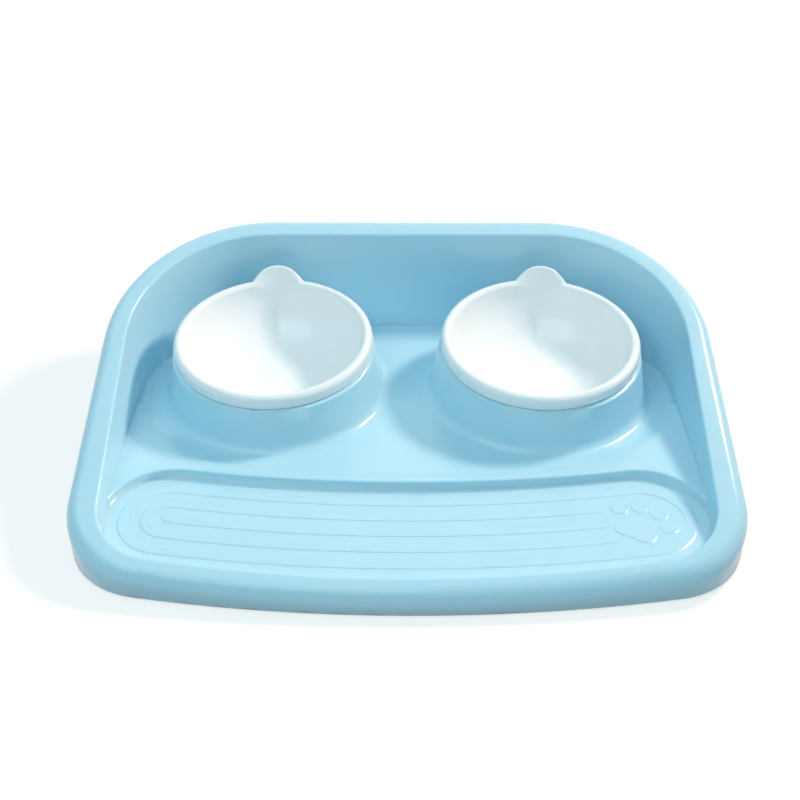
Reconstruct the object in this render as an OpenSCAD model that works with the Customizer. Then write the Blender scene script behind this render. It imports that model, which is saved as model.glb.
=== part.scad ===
/* [Tray] */
// Width of the tray over its rolled rim
tray_w = 392; // [370:1:430]
// Depth of the tray from front to back
tray_d = 289.5; // [280:0.5:320]
// Thickness of the moulded walls and floors
wall = 2.4; // [1.8:0.1:3]
// Radius of the two back corners
back_corner_r = 104; // [96:1:112]
// Radius of the two front corners
front_corner_r = 51.94; // [44:0.02:60]
// Radius of the bowed front edge
bow_r = 898.464; // [700:0.001:1400]

/* [Rim] */
// Height of the rim's top where it meets the front edge
rim_front_h = 14.9; // [14:0.1:18]
// Height of the rim's top where it meets the back edge
rim_back_h = 92.8; // [75:0.1:110]
// Radius that the rim rolls over along its outer edge
rim_roll = 8; // [6:0.5:9]
// From the side edge of the tray to the foot of the side wall
side_band = 19.7; // [17:0.1:24]
// From the back edge of the tray to the foot of the back wall
back_band = 23.1; // [20:0.1:28]
// From the front edge of the tray to the foot of the front wall
front_band = 11.9; // [10:0.1:15]
// Angle that the inner walls lean out by
wall_lean = 5.5; // [3:0.5:7]

/* [Floor] */
// Height of the deck above the table
deck_h = 21.2; // [20:0.1:26]
// Radius of the well's back corners at the deck
well_back_r = 82.5; // [70:0.5:90]
// Radius of the well's front corners at the deck
well_front_r = 36; // [28:0.5:42]
// Depth of the mat below the deck
mat_drop = 6; // [4:0.1:7]
// From the front edge of the tray to the step
mat_d = 88.5; // [84:0.5:92]
// Depth of the racetrack recess round the pedestals
recess_drop = 3.2; // [2:0.1:4]
// Radius of the recess at the deck
recess_r = 92; // [88:0.5:95]
// Width of the recess's sloped edge
recess_edge_w = 6.6; // [3:0.1:8]

/* [Mat relief] */
// Width of a raised band
band_w = 6.2; // [4:0.1:8]
// Width of the groove between two bands
groove_w = 6.8; // [5:0.1:7]
// Height of the bands and the paw print
band_h = 0.8; // [0.5:0.1:1.2]
// From the middle of the tray to the end of the open bands
band_end_x = 117; // [95:1:118]
// Size of the paw print across its pads
paw_size = 34; // [26:0.5:36]
// Angle that the paw print is turned by
paw_turn = 32; // [0:1:60]

/* [Pedestals] */
// Share of the well's width from one pedestal's middle to the other's
pedestal_gap_share = 0.4929; // [0.47:0.0001:0.5]
// From the back edge of the tray to the pedestals
pedestal_back = 97.8; // [95:0.1:102]
// Height of the seat above the table, at its middle
seat_h = 50.2; // [48:0.1:60]
// Angle that the seats tilt to the front
seat_tilt = 4.5; // [0:0.5:8]
// Radius of a pedestal at its seat
pedestal_top_r = 65.5; // [65.5:0.1:68]
// Radius of a pedestal at its foot
pedestal_foot_r = 71.6; // [69:0.1:75]
// Radius of the fillet round the foot
pedestal_fillet = 6.5; // [3:0.1:9]

/* [Bowls] */
// Diameter of a bowl over its rim
bowl_d = 129; // [120:0.5:130]
// Height of the thick rim
bead_h = 9; // [7:0.1:11]
// Width of the thick rim
bead_w = 6; // [5:0.1:7]
// Radius that the rim rolls over along its outer edge
bead_roll = 3.4; // [2:0.1:4]
// Thickness of the bowl's wall
bowl_wall = 2.4; // [1.8:0.1:3]
// Depth inside, from the top of the rim
bowl_depth = 38; // [30:0.5:40]
// Radius of the curve from the bowl's floor to its side
bowl_curve = 42; // [38:0.5:46]
// Length of the thumb tab, up its slope
tab_l = 12; // [9:0.5:14]
// Radius of the tab's rounded end
tab_r = 11; // [9:0.5:12]
// Thickness of the tab
tab_t = 2.4; // [1.8:0.1:3]
// Slope of the tab
tab_rise = 40; // [30:1:50]
// Angle that the left bowl is turned by in its seat
left_turn = 2; // [-20:1:20]
// Angle that the right bowl is turned by in its seat
right_turn = -5; // [-20:1:20]

/* [Feet] */
// How far the rubber feet stand proud of the tray
foot_proud = 1.2; // [0.8:0.1:2]
// Radius of a foot's head
foot_r = 7; // [5:0.5:8]
// Thickness of a foot's head
foot_head = 3; // [2.5:0.1:4]
// Radius of a foot's stem
stem_r = 3.4; // [2.5:0.1:4]
// Length of a foot's stem
stem_l = 5.5; // [4:0.5:6]

/* [Hidden] */
$fn = 128;
// Pieces to a full turn of the long bowed curves
bow_fn = 720;
// How far a cut runs past what it cuts
over = 1;
// Gap between a bowl and its pedestal
seat_gap = 0.3;
// Gap round a bowl's side in its socket
socket_gap = 1.2;
// Gap round a foot in its boss
foot_gap = 0.15;
// How far the raised bands sink into the floor that carries them
band_sink = 1;
// An arc that runs on from another has this much more radius, so that the two cross cleanly
merge = 0.02;
// Angle that such an arc runs on inside the other, and the angle for the long bowed curves
merge_a = 6;
bow_merge_a = 0.03;
// The bow's wedge reaches this much further than the corners' middles, past the rim
wedge_reach_share = 1.25;
// Width of the concave corners where the tab meets the rim
tab_fillet = 6.5;
// How far the tab's plate runs on into the rim
tab_root = 3;
// Rounded edge of a foot's head
foot_edge = 0.8;
// Wall of the boss round a foot
boss_wall = 2.6;
// Thickness of the ribs under the floor, and their height above the table
rib_t = 1.8;
rib_low = 6;
// Ring that a bowl stands on when it is out of its pedestal
stand_r = 26;
stand_w = 2;
stand_h = 1.6;

half_w = tray_w / 2;
half_d = tray_d / 2;
// Middle of the circles that the bowed edges, the step and the bands share
bow_y = bow_r - half_d;
rim_slope = (rim_back_h - rim_front_h) / tray_d;

well_half_w = half_w - side_band;
well_back_y = half_d - back_band;
well_front_y = front_band - half_d;
well_top = rim_back_h + wall;

mat_h = deck_h - mat_drop;
recess_h = deck_h - recess_drop;
step_y = mat_d - half_d;
step_reach = bow_y - step_y;
// The mat's middle line lies half way between the step and the front wall
mat_end_r = (step_y - well_front_y - over) / 2;
mat_reach = step_reach + mat_end_r;
mat_end_x = well_half_w + over / 2 - mat_end_r;
mat_end_a = asin(mat_end_x / mat_reach);
mat_end_y = bow_y - mat_reach * cos(mat_end_a);

pedestal_x = well_half_w * pedestal_gap_share;
pedestal_y = half_d - pedestal_back;
pedestal_a = atan(pedestal_x / (bow_y - pedestal_y));
pedestal_reach = (bow_y - pedestal_y) / cos(pedestal_a);
flare_slope = (pedestal_foot_r - pedestal_top_r) / (seat_h - recess_h);
flare_len = sqrt(1 + flare_slope * flare_slope);

bowl_r = bowl_d / 2;
bowl_in_r = bowl_r - bead_w;
bowl_flat_r = bowl_in_r - bowl_curve;
bowl_floor = bead_h - bowl_depth;
bowl_curve_z = bowl_floor + bowl_curve;
curve_out = bowl_curve + bowl_wall;
// Outer radius of the bowl's side where it passes the seat
bowl_seat_r = bowl_flat_r + sqrt(curve_out * curve_out - bowl_curve_z * bowl_curve_z);
socket_r = bowl_seat_r + socket_gap;

boss_r = foot_r + boss_wall;
front_boss = [half_w - front_corner_r, outer_corner_y()];
rear_boss_reach = (back_corner_r - wall / 2 - boss_r) * sin(45);
rear_boss = [half_w - back_corner_r + rear_boss_reach, half_d - back_corner_r + rear_boss_reach];

// How far an inner wall leans out at a height, from its place at the deck
function lean_out(z) = (z - deck_h) * tan(wall_lean);
// Angle at the bow's middle between the centre line and a front corner's middle
function corner_a(hw, front, r) = asin((hw - r) / (bow_y - front - r));
function corner_y(hw, front, r) = bow_y - (bow_y - front - r) * cos(corner_a(hw, front, r));
function outer_corner_y() = corner_y(half_w, -half_d, front_corner_r);

// Upright wedge between two directions, to cut a part out of a full turn
module wedge(from, to) {
  translate([0, 0, -2 * rim_back_h]) linear_extrude(3 * rim_back_h)
    polygon([[0, 0], from, from + to, to]);
}

// Sweeps a wall's section round an outline with large back corners, small front corners and a
// bowed front. The section is drawn from $from to $reach, where $reach is the wall. The front's
// arcs run on inside each other where run_on is 1, and end on each other where it is 0.
module around(hw, back, front, back_r, front_r, run_on) {
  back_x = hw - back_r;
  back_y = back - back_r;
  front_x = hw - front_r;
  front_y = corner_y(hw, front, front_r);
  front_a = corner_a(hw, front, front_r);
  // From the bow's middle to a front corner's
  to_corner = [front_x, front_y - bow_y];
  past_bow = to_corner * wedge_reach_share;
  for (side = [0, 1]) mirror([side, 0, 0]) {
    translate([back_x, back_y]) rotate_extrude(angle = 90)
      let ($from = 0, $reach = back_r) children();
    translate([front_x, front_y]) {
      if (run_on == 1) rotate([0, 0, front_a - 90 - merge_a])
        rotate_extrude(angle = 90 - front_a + 2 * merge_a)
          let ($from = 0, $reach = front_r + merge) children();
      else intersection() {
        rotate_extrude() let ($from = 0, $reach = front_r) children();
        wedge([hw, 0], to_corner / 10);
      }
    }
  }
  translate([0, back_y, 0]) rotate([90, 0, 0]) linear_extrude(back_y - front_y)
    let ($from = 0, $reach = hw) {
      children();
      mirror([1, 0]) children();
    }
  translate([-back_x, 0, 0]) rotate([90, 0, 90]) linear_extrude(2 * back_x)
    let ($from = back_y, $reach = back) children();
  translate([0, bow_y]) {
    if (run_on == 1) rotate([0, 0, -90 - front_a - bow_merge_a])
      rotate_extrude(angle = 2 * (front_a + bow_merge_a), $fn = bow_fn)
        let ($from = bow_y - front_y - front_r, $reach = bow_y - front) children();
    else intersection() {
      rotate_extrude($fn = bow_fn)
        let ($from = bow_y - front_y - front_r, $reach = bow_y - front) children();
      wedge([-past_bow[0], past_bow[1]], past_bow);
    }
  }
}

// Leans a block's level top so that it rises from the low front rim to the tall back rim
module sloped() {
  translate([0, 0, (rim_front_h + rim_back_h) / 2])
    multmatrix([[1, 0, 0, 0], [0, 1, 0, 0], [0, rim_slope, 1, 0], [0, 0, 0, 1]])
      children();
}

// Upright side with its top edge rolled over
module rolled_section(inset) {
  roll = rim_roll - inset;
  low = -rim_back_h - over;
  difference() {
    translate([$from, low]) square([$reach - inset - $from, -inset - low]);
    translate([$reach - rim_roll, -rim_roll]) difference() {
      square([rim_roll + over, rim_roll + over]);
      circle(r = roll);
    }
  }
}

// The tray's outside as one block, smaller by inset all over
module outer_block(inset) {
  sloped() around(half_w, half_d, -half_d, back_corner_r, front_corner_r, 0) rolled_section(inset);
}

module leaning_section(grow, low) {
  polygon([
    [$from, low],
    [$reach + grow + lean_out(low), low],
    [$reach + grow + lean_out(well_top), well_top],
    [$from, well_top]
  ]);
}

// Bowed slot shape round the mat's middle line, with round ends
module bowed_slot(r) {
  reach = 2 * bow_r;
  translate([0, bow_y]) intersection() {
    difference() {
      circle(r = mat_reach + r, $fn = bow_fn);
      circle(r = mat_reach - r, $fn = bow_fn);
    }
    polygon([[0, 0], [-reach * sin(mat_end_a), -reach * cos(mat_end_a)],
             [reach * sin(mat_end_a), -reach * cos(mat_end_a)]]);
  }
  for (side = [-1, 1]) translate([side * mat_end_x, mat_end_y]) circle(r = r + merge);
}

// The mat's outline: bowed along the step, round at both ends and open to the front
module mat_outline(grow) {
  bowed_slot(mat_end_r + grow);
  translate([-half_w, -half_d - over]) square([tray_w, half_d + over + mat_end_y]);
}

// Section of the racetrack recess, wider at the deck than at its floor
module recess_section(grow) {
  low = recess_h - grow - over;
  top = deck_h - grow + over;
  edge = recess_edge_w / recess_drop;
  polygon([
    [$from, low],
    [$reach - recess_edge_w - over * edge + grow, low],
    [$reach + over * edge + grow, top],
    [$from, top]
  ]);
}

// The space over the racetrack recess: round at both pedestals, and bowed in front between them
module recess(grow) {
  for (side = [-1, 1]) translate([side * pedestal_x, pedestal_y]) rotate_extrude()
    let ($from = 0, $reach = recess_r + merge) recess_section(grow);
  translate([0, bow_y]) rotate([0, 0, -90 - pedestal_a - bow_merge_a])
    rotate_extrude(angle = 2 * (pedestal_a + bow_merge_a), $fn = bow_fn)
      let ($from = bow_y - half_d, $reach = pedestal_reach + recess_r) recess_section(grow);
}

// The floor as a block: level with the recess, with the deck raised on it and the mat sunk in it
module floor_block(grow) {
  difference() {
    union() {
      translate([-half_w, -half_d, 0]) cube([tray_w, tray_d, recess_h - grow]);
      difference() {
        translate([-half_w, -half_d, recess_h - grow - over / 2])
          cube([tray_w, tray_d, recess_drop + over / 2]);
        recess(grow);
      }
    }
    translate([0, 0, mat_h - grow]) linear_extrude(mat_drop + over) mat_outline(grow);
  }
}

// The hollow of the tray, larger by grow all over
module well(grow) {
  difference() {
    around(well_half_w, well_back_y, well_front_y, well_back_r, well_front_r, 1)
      leaning_section(grow, mat_h - grow - over);
    floor_block(grow);
  }
}

// Places a shape drawn on the seat's plane on a pedestal, 1 to the right and -1 to the left
module on_seat(side) {
  translate([side * pedestal_x, pedestal_y, seat_h]) rotate([seat_tilt, 0, 0]) children();
}

// Flared stand with a fillet round its foot, before its top is cut
module flare() {
  top = seat_h + pedestal_top_r * sin(seat_tilt) + over;
  fillet_x = pedestal_foot_r + pedestal_fillet * (flare_len - flare_slope);
  rotate_extrude() difference() {
    polygon([
      [0, rib_low],
      [fillet_x, rib_low],
      [fillet_x, recess_h],
      [fillet_x - pedestal_fillet / flare_len, recess_h + pedestal_fillet * (1 - flare_slope / flare_len)],
      [pedestal_foot_r - flare_slope * (top - recess_h), top],
      [0, top]
    ]);
    translate([fillet_x, recess_h + pedestal_fillet]) circle(r = pedestal_fillet);
  }
}

module pedestal(side) {
  difference() {
    translate([side * pedestal_x, pedestal_y]) flare();
    on_seat(side) cylinder(r = pedestal_foot_r, h = seat_h);
  }
}

// The open space inside a pedestal, with the round socket that a bowl drops through
module pedestal_hollow(side) {
  difference() {
    translate([side * pedestal_x, pedestal_y, -over]) cylinder(
      r1 = pedestal_foot_r + flare_slope * (recess_h + over) - wall * flare_len,
      r2 = pedestal_top_r - flare_slope * (pedestal_top_r * sin(seat_tilt)) - wall * flare_len,
      h = seat_h + pedestal_top_r * sin(seat_tilt) + over);
    on_seat(side) translate([0, 0, -wall]) cylinder(r = pedestal_foot_r, h = seat_h);
  }
  on_seat(side) translate([0, 0, -wall - over]) cylinder(r = socket_r, h = wall + 2 * over);
}

// One raised band round the slot shape, its middle r away from the mat's middle line
module band(r) {
  difference() {
    bowed_slot(r + band_w / 2);
    bowed_slot(r - band_w / 2);
  }
}

// The raised bands: a closed racetrack, and a long U and a middle band that stop short of the paw
module bands() {
  pitch = band_w + groove_w;
  reach = 2 * bow_r;
  end_a = asin(band_end_x / mat_reach);
  band(2 * pitch);
  intersection() {
    union() {
      band(pitch);
      bowed_slot(band_w / 2);
    }
    translate([0, bow_y]) polygon([[0, 0], [-reach, 0], [-reach, -reach * cos(end_a)],
                                   [reach * sin(end_a), -reach * cos(end_a)]]);
  }
}

// Plain paw print: one main pad of three lobes and four toes on an arc
module paw() {
  toe_r_share = 0.155;
  toe_reach_share = 0.55;
  lobe_r_share = 0.19;
  lobe_reach_share = 0.21;
  heel_r_share = 0.28;
  // From the middle of the mat's end to the main pad
  side_share = 0.18;
  front_share = 0.19;
  toe_pitch = 38;
  lobe_pitch = 60;
  translate([mat_end_x - paw_size * side_share, mat_end_y - paw_size * front_share]) rotate(-paw_turn) {
    circle(r = paw_size * heel_r_share);
    for (i = [-1, 1]) translate([i * sin(lobe_pitch), -cos(lobe_pitch)] * paw_size * lobe_reach_share)
      circle(r = paw_size * lobe_r_share);
    for (i = [-1.5 : 1.5]) rotate(-i * toe_pitch)
      translate([0, paw_size * toe_reach_share]) circle(r = paw_size * toe_r_share);
  }
}

// Stiffening ribs under the floor: one behind the step and three from front to back
module ribs() {
  rib_h = deck_h - rib_low;
  translate([-well_half_w - wall / 2, step_y, rib_low]) cube([2 * well_half_w + wall, rib_t, rib_h]);
  for (x = [-pedestal_x, 0, pedestal_x]) translate([x - rib_t / 2, well_front_y - wall / 2, rib_low])
    cube([rib_t, well_back_y - well_front_y + wall, rib_h]);
}

// Draws a shape at each of the four feet
module at_feet() {
  for (side = [-1, 1]) {
    translate([side * front_boss[0], front_boss[1], 0]) children();
    translate([side * rear_boss[0], rear_boss[1], 0]) children();
  }
}

// The space under the tray, with its ribs and the bosses for its feet left standing
module underside() {
  difference() {
    outer_block(wall);
    well(wall);
    ribs();
    at_feet() cylinder(r = boss_r, h = deck_h);
  }
}

module foot_socket() {
  cylinder(r = foot_r + foot_gap, h = foot_head);
  cylinder(r = stem_r + foot_gap, h = foot_head + stem_l + over);
}

module tray() {
  color("skyblue") {
    difference() {
      union() {
        outer_block(0);
        for (side = [-1, 1]) pedestal(side);
      }
      underside();
      difference() {
        well(0);
        for (side = [-1, 1]) pedestal(side);
      }
      for (side = [-1, 1]) pedestal_hollow(side);
      at_feet() foot_socket();
      translate([-tray_w, -tray_d, foot_proud - 2 * rim_back_h])
        cube([2 * tray_w, 2 * tray_d, 2 * rim_back_h]);
    }
    translate([0, 0, mat_h - band_sink]) linear_extrude(band_sink + band_h) {
      bands();
      paw();
    }
  }
}

// A bowl's wall and thick rim, before its inside is cut
module bowl_outside() {
  difference() {
    translate([0, seat_gap]) square([bowl_r, bead_h - seat_gap]);
    translate([bowl_r - bead_roll, bead_h - bead_roll]) difference() {
      square([bead_roll + over, bead_roll + over]);
      circle(r = bead_roll);
    }
  }
  intersection() {
    union() {
      translate([0, bowl_floor - bowl_wall]) square([bowl_flat_r, bowl_depth]);
      translate([bowl_flat_r, bowl_curve_z]) circle(r = curve_out);
    }
    translate([0, bowl_floor - bowl_wall]) square([bowl_r, bowl_depth - bead_h + bowl_wall + bead_h / 2]);
  }
  translate([stand_r - stand_w, bowl_floor - bowl_wall - stand_h])
    square([stand_w, stand_h + bowl_wall]);
}

module bowl_inside() {
  lip = bead_w - bead_roll;
  top = bead_h + tab_l;
  intersection() {
    union() {
      translate([0, bowl_floor]) square([bowl_flat_r, bowl_depth]);
      translate([bowl_flat_r, bowl_curve_z]) circle(r = bowl_curve);
    }
    translate([0, bowl_floor]) square([bowl_in_r, bowl_depth]);
  }
  translate([0, bead_h]) square([bowl_in_r + lip, top - bead_h]);
  translate([bowl_flat_r, bead_h - lip]) difference() {
    square([bowl_curve + lip, lip]);
    translate([bowl_curve + lip, 0]) circle(r = lip);
  }
}

// Outline of the thumb tab, with concave corners where it meets the rim
module tab_outline() {
  root_w = tab_r + tab_fillet;
  translate([0, tab_l - tab_r]) circle(r = tab_r);
  translate([-tab_r, -tab_root]) square([2 * tab_r, tab_root + tab_l - tab_r]);
  difference() {
    translate([-root_w, -tab_root]) square([2 * root_w, tab_root + tab_fillet]);
    for (side = [-1, 1]) translate([side * root_w, tab_fillet]) circle(r = tab_fillet);
    translate([-root_w, tab_l - tab_r]) square([2 * root_w, tab_l]);
  }
}

module on_tab() {
  translate([0, bowl_in_r, bead_h - bead_roll]) rotate([tab_rise, 0, 0]) children();
}

module bowl(side, turn) {
  color("white") on_seat(side) rotate(turn) difference() {
    union() {
      rotate_extrude() bowl_outside();
      on_tab() translate([0, 0, -tab_t]) linear_extrude(tab_t) tab_outline();
    }
    rotate_extrude() bowl_inside();
    on_tab() linear_extrude(tab_l) tab_outline();
  }
}

module bowl_left() {
  bowl(-1, left_turn);
}

module bowl_right() {
  bowl(1, right_turn);
}

// Soft push-in foot: a flat head with a rounded edge, and a stem
module foot(at) {
  color("dimgray") translate([at[0], at[1], 0]) rotate_extrude() {
    difference() {
      square([foot_r, foot_head]);
      translate([foot_r - foot_edge, 0]) difference() {
        translate([0, -over]) square([foot_edge + over, foot_edge + over]);
        translate([0, foot_edge]) circle(r = foot_edge);
      }
    }
    translate([0, foot_head]) square([stem_r, stem_l]);
  }
}

module foot_front_left() {
  foot([-front_boss[0], front_boss[1]]);
}

module foot_front_right() {
  foot(front_boss);
}

module foot_rear_left() {
  foot([-rear_boss[0], rear_boss[1]]);
}

module foot_rear_right() {
  foot(rear_boss);
}

tray();
bowl_left();
bowl_right();
foot_front_left();
foot_front_right();
foot_rear_left();
foot_rear_right();
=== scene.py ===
import math
import bmesh
import bpy
from mathutils import Matrix, Vector


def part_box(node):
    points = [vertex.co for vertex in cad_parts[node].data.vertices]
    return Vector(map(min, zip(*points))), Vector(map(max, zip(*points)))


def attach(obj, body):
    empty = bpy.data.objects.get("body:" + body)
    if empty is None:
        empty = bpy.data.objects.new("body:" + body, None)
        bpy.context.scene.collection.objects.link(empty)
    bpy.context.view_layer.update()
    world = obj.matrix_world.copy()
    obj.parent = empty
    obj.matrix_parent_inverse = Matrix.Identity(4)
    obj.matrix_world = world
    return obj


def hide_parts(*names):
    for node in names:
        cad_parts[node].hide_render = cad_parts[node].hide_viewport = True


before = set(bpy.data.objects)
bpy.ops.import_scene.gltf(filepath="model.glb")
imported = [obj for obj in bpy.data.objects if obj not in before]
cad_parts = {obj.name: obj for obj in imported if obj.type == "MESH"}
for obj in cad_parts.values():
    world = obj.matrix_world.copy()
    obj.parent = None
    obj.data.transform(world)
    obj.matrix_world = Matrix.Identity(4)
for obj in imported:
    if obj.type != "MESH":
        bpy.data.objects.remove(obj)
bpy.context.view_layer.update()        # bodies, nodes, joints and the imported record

scene = bpy.context.scene
mm = 0.001               # sizes below are in millimetres

# camera

view = {
    "place": (-2.1, -576.6, 466.9),
    "tilt": 53.52,       # degrees up from straight down
    "turn": 0.218,
    "lens": 51.5,
    "sensor": 36,
    "clip": (0.01, 50),  # in metres
}
camera = bpy.data.objects.new("camera", bpy.data.cameras.new("camera"))
scene.collection.objects.link(camera)
camera.data.lens = view["lens"]
camera.data.sensor_width = view["sensor"]
camera.data.clip_start, camera.data.clip_end = view["clip"]
camera.location = Vector(view["place"]) * mm
camera.rotation_euler = (math.radians(view["tilt"]), 0, math.radians(view["turn"]))
scene.camera = camera
scene.view_settings.view_transform = "Standard"
print("camera set")


# a socket that can be used in sums; the one with no socket stands for the whole tree
class Wire:
    def __init__(self, tree, socket=None):
        self.tree = tree
        self.socket = socket

    def node(self, kind, settings=None, sockets=None, out=0):
        made = self.tree.nodes.new(kind)
        for name, value in (settings or {}).items():
            setattr(made, name, value)
        for name, value in (sockets or {}).items():
            if isinstance(value, Wire):
                self.tree.links.new(value.socket, made.inputs[name])
            else:
                made.inputs[name].default_value = value
        return Wire(self.tree, made.outputs[out] if made.outputs else None)

    def maths(self, operation, first, second):
        return self.node("ShaderNodeMath", {"operation": operation}, {0: first, 1: second})

    def __add__(self, other):
        return self.maths("ADD", self, other)

    def __radd__(self, other):
        return self.maths("ADD", other, self)

    def __sub__(self, other):
        return self.maths("SUBTRACT", self, other)

    def __rsub__(self, other):
        return self.maths("SUBTRACT", other, self)

    def __mul__(self, other):
        return self.maths("MULTIPLY", self, other)

    def __rmul__(self, other):
        return self.maths("MULTIPLY", other, self)


def newMaterial(name):
    material = bpy.data.materials.new(name)
    material.use_nodes = True
    material.node_tree.nodes.clear()
    return material, Wire(material.node_tree)


# a colour of a picture, 0 to 255, as the numbers a shader takes
def linear(red, green, blue):
    return tuple(((c / 255 + 0.055) / 1.055) ** 2.4 for c in (red, green, blue))


def onPiece(tree):
    return tree.node("ShaderNodeTexCoord", out="Object")


def noise(tree, place, scale, detail=2.0, roughness=0.5):
    return tree.node("ShaderNodeTexNoise", None, {
        "Vector": place, "Scale": scale, "Detail": detail, "Roughness": roughness})


def blendOf(tree, mask, first, second):
    return tree.node("ShaderNodeMix", {"data_type": "RGBA"}, {
        0: mask, 6: (*first, 1), 7: (*second, 1)}, 2)


# finishes

blueFinish = {
    "colour": linear(188, 226, 241),
    "deep": linear(180, 222, 240),     # where the moulding runs thick
    "clouds": 9,                       # scale of the change between the two
    "roughness": 0.20,
    "cloudRough": 0.10,
    "fineRough": 0.06,
    "peel": 0.05,                      # height of the faint flow marks
    "peelScale": 260,
    "fineScale": 1400,
    "fineShare": 0.3,
    "peelStrength": 0.25,
    "ior": 1.5,
    "milky": 0.35,
    "depth": (0.6, 1.4, 2.0),          # how far light carries in the plastic
    "softEdge": 1.3,                   # inner corners are shaded as if this round
}


def bluePlastic():
    f = blueFinish
    material, tree = newMaterial("pale_blue_plastic")
    place = onPiece(tree)
    cloud = noise(tree, place, f["clouds"], 3)
    peel = noise(tree, place, f["peelScale"], 2)
    fine = noise(tree, place, f["fineScale"], 2)
    colour = blendOf(tree, cloud, f["colour"], f["deep"])
    roughness = f["roughness"] + (cloud - 0.5) * f["cloudRough"] + (fine - 0.5) * f["fineRough"]
    soft = tree.node("ShaderNodeBevel", {"samples": 8}, {"Radius": f["softEdge"] * mm})
    bump = tree.node("ShaderNodeBump", None, {
        "Strength": f["peelStrength"], "Distance": f["peel"] * mm,
        "Height": peel + fine * f["fineShare"], "Normal": soft})
    shader = tree.node("ShaderNodeBsdfPrincipled", None, {
        "Base Color": colour, "Roughness": roughness, "Normal": bump, "IOR": f["ior"],
        "Subsurface Weight": f["milky"], "Subsurface Scale": mm, "Subsurface Radius": f["depth"]})
    tree.node("ShaderNodeOutputMaterial", None, {"Surface": shader})
    return material


whiteFinish = {
    "colour": linear(244, 246, 248),
    "deep": linear(238, 241, 244),
    "clouds": 14,
    "roughness": 0.13,
    "cloudRough": 0.08,
    "peel": 0.03,
    "peelScale": 320,
    "peelStrength": 0.2,
    "ior": 1.5,
}


def whitePlastic():
    f = whiteFinish
    material, tree = newMaterial("white_bowl_plastic")
    place = onPiece(tree)
    cloud = noise(tree, place, f["clouds"], 3)
    peel = noise(tree, place, f["peelScale"], 2)
    colour = blendOf(tree, cloud, f["colour"], f["deep"])
    roughness = f["roughness"] + (cloud - 0.5) * f["cloudRough"]
    bump = tree.node("ShaderNodeBump", None, {
        "Strength": f["peelStrength"], "Distance": f["peel"] * mm, "Height": peel})
    shader = tree.node("ShaderNodeBsdfPrincipled", None, {
        "Base Color": colour, "Roughness": roughness, "Normal": bump, "IOR": f["ior"]})
    tree.node("ShaderNodeOutputMaterial", None, {"Surface": shader})
    return material


rubberFinish = {
    "colour": linear(120, 124, 127),
    "deep": linear(96, 100, 103),
    "clouds": 180,
    "roughness": 0.72,
    "grainRough": 0.2,
    "grain": 0.08,
    "grainScale": 2600,
    "grainStrength": 0.5,
}


def greyRubber():
    f = rubberFinish
    material, tree = newMaterial("soft_grey_rubber")
    place = onPiece(tree)
    cloud = noise(tree, place, f["clouds"], 3)
    grain = noise(tree, place, f["grainScale"], 3, 0.6)
    colour = blendOf(tree, cloud, f["colour"], f["deep"])
    roughness = f["roughness"] + (grain - 0.5) * f["grainRough"]
    bump = tree.node("ShaderNodeBump", None, {
        "Strength": f["grainStrength"], "Distance": f["grain"] * mm, "Height": grain})
    shader = tree.node("ShaderNodeBsdfPrincipled", None, {
        "Base Color": colour, "Roughness": roughness, "Normal": bump})
    tree.node("ShaderNodeOutputMaterial", None, {"Surface": shader})
    return material


blue = bluePlastic()
white = whitePlastic()
rubber = greyRubber()
for name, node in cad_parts.items():
    finish = blue if name == "tray" else white if name.startswith("bowl") else rubber
    node.data.materials.clear()
    node.data.materials.append(finish)
print("finishes made")


# tray

trayEdges = {
    "width": 3.0,            # of the widest rounding; each kind of edge takes a share of it
    "segments": 3,
    "rim": 0.45,
    "step": 0.42,
    "relief": 0.05,
    "bends": {"any": 20, "rim": 45, "step": 60},    # edges that bend less stay as they are
    "underside": 14.0,       # so does everything below this height
    "levels": {"deck": 21.2, "mat": 15.2, "relief": 16.0},
    "levelReach": 0.05,
    "reliefShown": 15.4,     # the bands look fainter in the photograph than at full height
    "rimMiddle": 53.85,
    "rimSlope": 0.269085,
    "rimReach": 0.6,
    "exact": 0.01,
    "sameSpot": 0.00001,     # corners this close are one
    "sliver": 0.02,          # and a face this thin is none
}


def newPiece(name, bm, body, finish, node):
    mesh = bpy.data.meshes.new(name)
    bm.to_mesh(mesh)
    bm.free()
    mesh.materials.append(finish)
    mesh.shade_smooth()
    piece = bpy.data.objects.new(name, mesh)
    scene.collection.objects.link(piece)
    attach(piece, body)
    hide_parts(node)
    return piece


# how far a corner lies under the sloping plane of the rim
def belowRim(vert):
    e = trayEdges
    return e["rimMiddle"] + (e["rimSlope"] * vert.co.y - vert.co.z) / mm


# the share of the widest rounding that an edge takes
def roundShare(edge):
    e = trayEdges
    if len(edge.link_faces) != 2:
        return 0
    bend = math.degrees(edge.calc_face_angle(0))
    middle = (edge.verts[0].co + edge.verts[1].co) / 2 / mm

    def at(level):
        return all(abs(v.co.z / mm - e["levels"][level]) < e["levelReach"] for v in edge.verts)

    if bend < e["bends"]["any"] or middle.z < e["underside"]:
        return 0
    if all(abs(belowRim(v)) < e["rimReach"] for v in edge.verts):
        return e["rim"] if bend > e["bends"]["rim"] else 0
    if at("relief"):
        return e["relief"]
    if at("mat"):            # the foot of a band, but not the foot of the step or a wall
        tall = max(v.co.z for face in edge.link_faces for v in face.verts) / mm
        return e["relief"] if tall < e["levels"]["relief"] + e["levelReach"] else 0
    if at("deck"):
        return e["step"] if bend > e["bends"]["step"] and edge.is_convex else 0
    return 0


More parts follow.
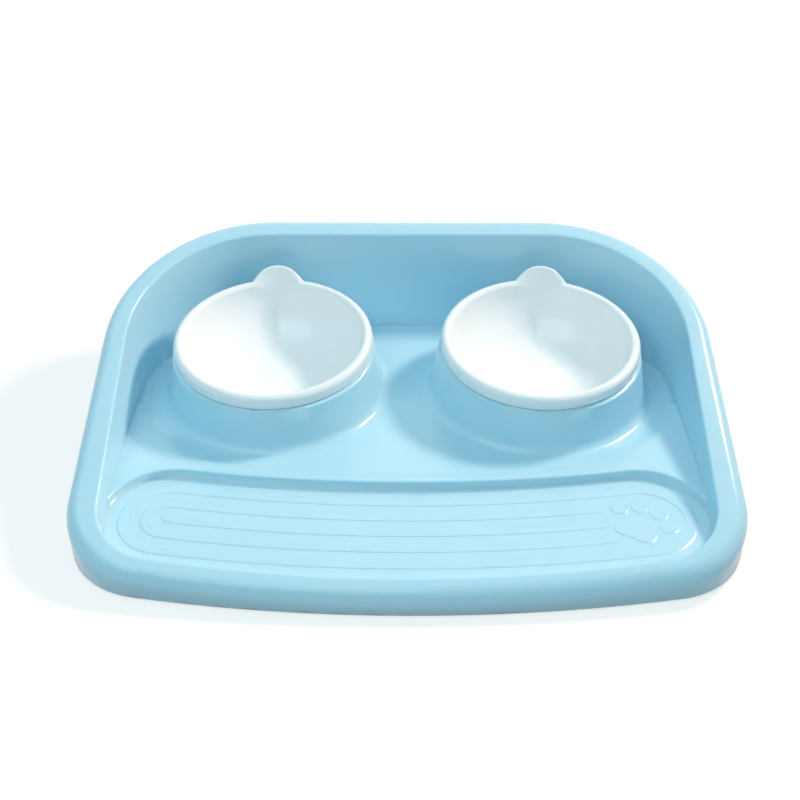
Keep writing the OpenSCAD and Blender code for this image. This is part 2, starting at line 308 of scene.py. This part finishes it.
def makeTray():
    e = trayEdges
    bm = bmesh.new()
    bm.from_mesh(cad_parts["tray"].data)
    bmesh.ops.remove_doubles(bm, verts=bm.verts, dist=e["sameSpot"] * mm)
    bmesh.ops.dissolve_degenerate(bm, dist=e["sliver"] * mm, edges=bm.edges)
    roll = e["width"] * e["rim"]
    stray = {}               # corners so close under the rim that its rounding would fold over them
    for edge in bm.edges:
        top, low = sorted(edge.verts, key=belowRim)
        close = e["levelReach"] < belowRim(low) < roll and edge.calc_length() < roll * mm
        if abs(belowRim(top)) < e["exact"] and close:
            stray[low] = top
    bmesh.ops.weld_verts(bm, targetmap=stray)
    weight = bm.edges.layers.float.new("bevel_weight_edge")
    for edge in bm.edges:
        edge[weight] = roundShare(edge)
    for vert in bm.verts:
        if abs(vert.co.z / mm - e["levels"]["relief"]) < e["exact"] and vert.co.y < 0:
            vert.co.z = e["reliefShown"] * mm
    tray = newPiece("tray_moulding", bm, "tray", blue, "tray")
    rounded = tray.modifiers.new("rounded_edges", "BEVEL")
    rounded.limit_method = "WEIGHT"
    rounded.offset_type = "OFFSET"
    rounded.width = e["width"] * mm
    rounded.segments = e["segments"]
    rounded.use_clamp_overlap = False
    shaded = tray.modifiers.new("flat_faces", "WEIGHTED_NORMAL")
    shaded.mode = "FACE_AREA"
    shaded.keep_sharp = False


makeTray()
print("tray made")


# bowls

# heights are over the top of the pedestal, on the bowl's own axis
bowlShape = {
    "rim": 64.5, "rimTop": 9.0, "rimRoll": 3.4, "lip": 3.12,
    "rimUnder": 0.3, "underRoll": 0.8, "underFlat": 3.0,
    "flat": 16.5, "floor": -29.0, "floorRings": (6.0, 12.0),
    "curve": 42.0, "curveMiddle": 13.0, "wall": 2.4,
    "ring": (24.0, 26.0, -33.0),     # inner and outer radius and foot of the ring it stands on
    "ringRoll": 0.4, "underRing": 8.0,
    "lipGap": 1.5, "ringGap": 3.0,   # degrees left free where two arcs meet
    "steps": {"wall": 30, "lip": 10, "roll": 13, "underRoll": 5, "outside": 28, "ring": 4, "tab": 4},
    "columns": 288,
    "tabStart": (58.5, 5.6), "tabRise": 62.0, "tabReach": 14.3, "tabThick": 2.4,
    "tabHalf": 16.6,                 # half the tab's width at its foot
    "tabRound": 2.4, "tabFade": 1.2,    # how round its outline is, and how softly it ends
    "tabFoot": -4.0, "tabEase": 5.0, "tabUnder": 0.6,
    "trough": {"foot": 5.0, "widen": 11.0, "depth": 1.3},
    "seat": (86.898, 46.95, 50.2), "seatTilt": 4.5,
}


# points of an arc, between two angles in degrees
def arc(middle, radius, start, end, count):
    turns = [math.radians(start + (end - start) * i / (count - 1)) for i in range(count)]
    return [(middle[0] + radius * math.cos(t), middle[1] + radius * math.sin(t)) for t in turns]


def spun(section, steps):
    bm = bmesh.new()
    verts = [bm.verts.new((r * mm, 0, z * mm)) for r, z in section]
    edges = [bm.edges.new(pair) for pair in zip(verts, verts[1:])]
    bmesh.ops.spin(bm, geom=verts + edges, cent=(0, 0, 0), axis=(0, 0, 1),
                   angle=2 * math.pi, steps=steps, use_merge=True)
    bmesh.ops.remove_doubles(bm, verts=bm.verts, dist=0.001 * mm)
    bmesh.ops.recalc_face_normals(bm, faces=bm.faces)
    return bm


def smoothStep(value):
    value = min(max(value, 0.0), 1.0)
    return value * value * (3 - 2 * value)


# the section where the rim rises into the thumb tab: up the wall, along the tab and back under it
def tabSection(wall, lipCount, rollCount):
    b = bowlShape
    rise = math.radians(b["tabRise"])
    half = b["tabThick"] / 2
    steps = b["steps"]["tab"]

    def put(along, up):
        return Vector((b["tabStart"][0] + along * math.cos(rise) - up * math.sin(rise),
                       b["tabStart"][1] + along * math.sin(rise) + up * math.cos(rise)))

    start, onward = Vector(wall[0]), (Vector(wall[1]) - Vector(wall[0])).normalized()
    bend = (start, start + onward * b["tabEase"], put(0, 0), put(b["tabEase"], 0))
    inside = []
    count = len(wall) + lipCount - steps
    for i in range(count):
        t = i / (count - 1)
        inside.append((1 - t) ** 3 * bend[0] + 3 * t * (1 - t) ** 2 * bend[1]
                      + 3 * t * t * (1 - t) * bend[2] + t ** 3 * bend[3])
    straight = b["tabReach"] - half - b["tabEase"]
    for i in range(1, steps + 1):
        inside.append(put(b["tabEase"] + straight * i / steps, 0))
    turns = [math.pi * i / (rollCount - steps) for i in range(1, rollCount - steps + 1)]
    tip = [put(b["tabReach"] - half + half * math.sin(t), -half + half * math.cos(t)) for t in turns]
    root = Vector((b["rim"], b["tabStart"][1] - b["tabUnder"]))
    under = [tip[-1].lerp(root, i / steps) for i in range(1, steps + 1)]
    return inside + tip + under


def makeBowl(name, node, side, turn):
    b = bowlShape
    steps = b["steps"]
    top = (b["rim"] - b["rimRoll"], b["rimTop"])
    curve = (b["flat"], b["curveMiddle"])
    lipMiddle = (top[0], top[1] - b["lip"])
    lipTurn = math.degrees(math.asin((lipMiddle[1] - curve[1]) / b["curve"]))
    outer = b["curve"] + b["wall"]
    underTurn = math.degrees(math.asin((b["rimUnder"] - curve[1]) / outer))
    low, high, foot = b["ring"]

    def outside(radius):
        return curve[1] - math.sqrt(outer ** 2 - (radius - curve[0]) ** 2)

    ringTurn = math.degrees(math.asin((outside(high) - curve[1]) / outer))
    floor = [(radius, b["floor"]) for radius in (0, *b["floorRings"])]
    section = floor + arc(curve, b["curve"], -90, lipTurn - b["lipGap"], steps["wall"])
    lip = arc(lipMiddle, b["lip"], 180, 90, steps["lip"])
    roll = arc((top[0], top[1] - b["rimRoll"]), b["rimRoll"], 90, 0, steps["roll"])[1:]
    first = next(i for i, point in enumerate(section)
                 if point[0] > b["flat"] and point[1] > b["tabFoot"])
    tab = tabSection(section[first:], len(lip), len(roll))
    section += lip + roll
    section += arc((b["rim"] - b["underRoll"], b["rimUnder"] + b["underRoll"]),
                   b["underRoll"], 0, -90, steps["underRoll"])
    section += [(b["rim"] - b["underFlat"], b["rimUnder"])]
    section += arc(curve, outer, underTurn, ringTurn, steps["outside"])
    ringHeight = foot + b["ringRoll"]
    section += arc((high - b["ringRoll"], ringHeight), b["ringRoll"], 0, -90, steps["ring"])
    section += arc((low + b["ringRoll"], ringHeight), b["ringRoll"], -90, -180, steps["ring"])
    section += [(low, outside(low))]
    section += arc(curve, outer, ringTurn - b["ringGap"], -90, steps["ring"])
    section += [(radius, b["floor"] - b["wall"]) for radius in (b["underRing"], 0)]
    bm = spun(section, b["columns"])
    spots = {(round(r, 2), round(z, 2)): i for i, (r, z) in enumerate(section)}
    for vert in bm.verts:
        wide = math.atan2(vert.co.x, vert.co.y)      # 0 is the back, where the tab is
        across = wide * b["tabStart"][0]
        radius, height = math.hypot(vert.co.x, vert.co.y) / mm, vert.co.z / mm
        place = spots.get((round(radius, 2), round(height, 2)), -1)
        if first <= place < first + len(tab):        # the rim rises into the thumb tab
            share = max(1 - abs(across / b["tabHalf"]) ** b["tabRound"], 0) ** b["tabFade"]
            radius += (tab[place - first][0] - radius) * share
            height += (tab[place - first][1] - height) * share
        elif len(floor) <= place < first:            # and a shallow trough runs down the wall below it
            climb = (height - b["floor"]) / (b["tabFoot"] - b["floor"])
            half = b["trough"]["foot"] + b["trough"]["widen"] * climb
            share = 1 - smoothStep(abs(across) / half)
            radius += b["trough"]["depth"] * share * math.sin(math.pi * min(climb, 1))
        vert.co = (math.sin(wide) * radius * mm, math.cos(wide) * radius * mm, height * mm)
    seat = Matrix.Translation(Vector((side * b["seat"][0], b["seat"][1], b["seat"][2])) * mm)
    tilt = Matrix.Rotation(math.radians(b["seatTilt"]), 4, "X")
    spin = Matrix.Rotation(math.radians(turn), 4, "Z")
    bmesh.ops.transform(bm, matrix=seat @ tilt @ spin, verts=bm.verts)
    newPiece(name, bm, node, white, node)


makeBowl("left_bowl_insert", "bowl_left", -1, 2)
makeBowl("right_bowl_insert", "bowl_right", 1, -5)
print("bowls made")


# feet

footShape = {
    "head": 7.0, "headThick": 3.0, "topEdge": 0.2,
    "edge": 0.8, "edgeStart": -80, "edgeSteps": 5,
    "dish": 0.35, "dishRadius": 3.6, "dishSlope": 0.8,
    "stem": 3.4, "stemTop": 8.5, "stemEdge": 0.6, "neck": 0.3,
    "steps": 64,
    "corners": ("front_left", "front_right", "rear_left", "rear_right"),
}


def makeFeet():
    f = footShape
    section = [(0, f["dish"]), (f["dishRadius"] - f["dishSlope"], f["dish"])]
    section += [(f["dishRadius"], 0), (f["head"] - f["edge"], 0)]
    section += arc((f["head"] - f["edge"], f["edge"]), f["edge"], f["edgeStart"], 0, f["edgeSteps"])
    section += [(f["head"], f["headThick"] - f["topEdge"])]
    section += [(f["head"] - f["topEdge"], f["headThick"])]
    section += [(f["stem"] + f["neck"], f["headThick"]), (f["stem"], f["headThick"] + f["neck"])]
    section += [(f["stem"], f["stemTop"] - f["stemEdge"])]
    section += [(f["stem"] - f["stemEdge"], f["stemTop"]), (0, f["stemTop"])]
    for corner in f["corners"]:
        node = "foot_" + corner
        low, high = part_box(node)
        middle = (low + high) / 2
        bm = spun(section, f["steps"])
        bmesh.ops.translate(bm, verts=bm.verts, vec=(middle.x, middle.y, 0))
        newPiece("rubber_" + node, bm, "tray", rubber, node)


makeFeet()
print("feet made")


# floor and light

floorLook = {
    "size": 8,               # in metres, as the distances below
    "colour": (0.46, 0.425, 0.41),
    "lift": 0.635,           # what the camera sees on top of the lit paint
    "fade": (0.5, 1.5),      # the floor turns to plain white between these distances
}


# 1 for the rays that show a background, 0 for those that light the object
def shownRays(tree):
    path = tree.node("ShaderNodeLightPath").socket.node
    camera, glossy, clear = (Wire(tree.tree, path.outputs[name]) for name in (
        "Is Camera Ray", "Is Glossy Ray", "Is Transmission Ray"))
    return tree.maths("MINIMUM", camera + glossy + clear, 1)


def makeFloor():
    bm = bmesh.new()
    bmesh.ops.create_grid(bm, x_segments=1, y_segments=1, size=floorLook["size"] / 2)
    mesh = bpy.data.meshes.new("floor")
    bm.to_mesh(mesh)
    bm.free()
    floor = bpy.data.objects.new("floor", mesh)
    scene.collection.objects.link(floor)
    material, tree = newMaterial("white_floor")
    away = tree.node("ShaderNodeVectorMath", {"operation": "LENGTH"}, {0: onPiece(tree)}, "Value")
    near, far = floorLook["fade"]
    fading = tree.node("ShaderNodeMapRange", {"interpolation_type": "SMOOTHSTEP"}, {
        "Value": away, "From Min": near, "From Max": far,
        "To Min": floorLook["lift"], "To Max": 1.0})
    lift = tree.node("ShaderNodeEmission", None, {
        "Color": (1, 1, 1, 1), "Strength": shownRays(tree) * fading})
    paint = tree.node("ShaderNodeBsdfDiffuse", None, {"Color": (*floorLook["colour"], 1)})
    both = tree.node("ShaderNodeAddShader", None, {0: lift, 1: paint})
    tree.node("ShaderNodeOutputMaterial", None, {"Surface": both})
    mesh.materials.append(material)


studio = {
    "dim": (0.59, 0.91, 1), "dimStrength": 0.53,    # what lights the object
    "bright": 1.0,                                  # what shows behind it
}


def makeWorld():
    world = bpy.data.worlds.new("studio")
    scene.world = world
    world.use_nodes = True
    world.node_tree.nodes.clear()
    sky = Wire(world.node_tree)
    dim = sky.node("ShaderNodeBackground", None, {
        "Color": (*studio["dim"], 1), "Strength": studio["dimStrength"]})
    bright = sky.node("ShaderNodeBackground", None, {
        "Color": (1, 1, 1, 1), "Strength": studio["bright"]})
    both = sky.node("ShaderNodeMixShader", None, {0: shownRays(sky), 1: dim, 2: bright})
    sky.node("ShaderNodeOutputWorld", None, {"Surface": both})


lamps = {
    "key": {"place": (0.50, 0.28, 0.55), "size": 0.13, "power": 7.5,
            "colour": (1, 0.77, 0.63), "even": True},
    "fill": {"place": (-0.6, -0.7, 1.5), "size": 1.4, "power": 8,
             "colour": (0.78, 0.96, 1), "even": False},
    "back": {"place": (0, 1.4, 1.0), "size": 1.2, "power": 1.5,
             "colour": (0.9, 0.98, 1), "even": False},
}
lampsAim = Vector((0, 0, 0.03))


def makeLamp(name, place, size, power, colour, even):
    data = bpy.data.lights.new(name, "AREA")
    data.shape = "DISK"
    data.size = size
    data.energy = power
    data.color = colour
    if even:                 # it stands close by, but the far side is lit no dimmer
        data.use_nodes = True
        data.node_tree.nodes.clear()
        tree = Wire(data.node_tree)
        constant = tree.node("ShaderNodeLightFalloff", None, {"Strength": 1.0}, "Constant")
        glow = tree.node("ShaderNodeEmission", None, {"Strength": constant})
        tree.node("ShaderNodeOutputLight", None, {"Surface": glow})
    lamp = bpy.data.objects.new(name, data)
    lamp.location = place
    lamp.visible_camera = False
    lamp.rotation_euler = (lampsAim - lamp.location).to_track_quat("-Z", "Y").to_euler()
    scene.collection.objects.link(lamp)


makeFloor()
makeWorld()
for name, lamp in lamps.items():
    makeLamp(name, **lamp)
print("floor and light set")
